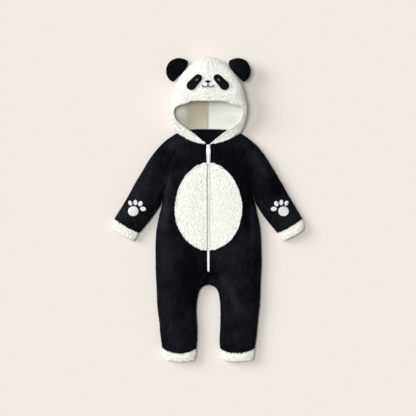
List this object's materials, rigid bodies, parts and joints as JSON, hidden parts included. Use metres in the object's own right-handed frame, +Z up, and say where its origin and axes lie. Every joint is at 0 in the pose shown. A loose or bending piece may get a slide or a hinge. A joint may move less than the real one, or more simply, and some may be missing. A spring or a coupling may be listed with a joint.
{
  "type": "hooded panda jumpsuit for a baby",
  "caption": "Hooded baby jumpsuit in black plush and white fleece, a panda face on its hood and paw prints on its sleeves, laid flat on its back, zipped shut.",
  "frame": {"origin": "middle of the underside of the whole garment's box, on the surface it lies on", "axes": "+Y from the feet to the hood, +Z up from the surface, +X to the wearer's left"},
  "size_m": [0.504, 0.795, 0.0808],
  "materials": {
    "black_plush": "short brushed pile, soft sheen",
    "white_fleece": "curly fleece, matt",
    "white_lining": "smooth brushed knit, matt",
    "white_thread": "satin-stitch embroidery thread",
    "black_thread": "satin-stitch embroidery thread",
    "zip_tape_white": "woven tape",
    "zip_white": "moulded, satin"
  },
  "bodies": {
    "garment": {"front_left": "black_plush", "front_right": "black_plush", "back_left": "black_plush", "back_right": "black_plush", "sleeve_left": "black_plush", "sleeve_right": "black_plush", "ear_left": "black_plush", "ear_right": "black_plush", "sleeve_cuff_left": "white_fleece", "sleeve_cuff_right": "white_fleece", "leg_cuff_left": "white_fleece", "leg_cuff_right": "white_fleece", "hood_left": "white_fleece", "hood_right": "white_fleece", "belly_left": "white_fleece", "belly_right": "white_fleece", "hood_lining_left": "white_lining", "hood_lining_right": "white_lining", "eye_patch_left": "black_thread", "eye_patch_right": "black_thread", "nose": "black_thread", "mouth": "black_thread", "eye_glint_left": "white_thread", "eye_glint_right": "white_thread", "paw_pad_left": "white_thread", "paw_pad_right": "white_thread", "paw_toe_left_1": "white_thread", "paw_toe_left_2": "white_thread", "paw_toe_left_3": "white_thread", "paw_toe_left_4": "white_thread", "paw_toe_right_1": "white_thread", "paw_toe_right_2": "white_thread", "paw_toe_right_3": "white_thread", "paw_toe_right_4": "white_thread", "zip_tape_left": "zip_tape_white", "zip_tape_right": "zip_tape_white", "zip_chain": "zip_white", "zip_slider": "zip_white"},
    "zip_pull": {"zip_pull": "zip_white"}
  },
  "joints": [
    {"name": "pull_flip", "type": "hinge", "parent": "garment", "child": "zip_pull", "pos_m": [0, 0.16087, 0.03132], "axis": [-1, 0, 0], "range_deg": [0, 150]}
  ]
}
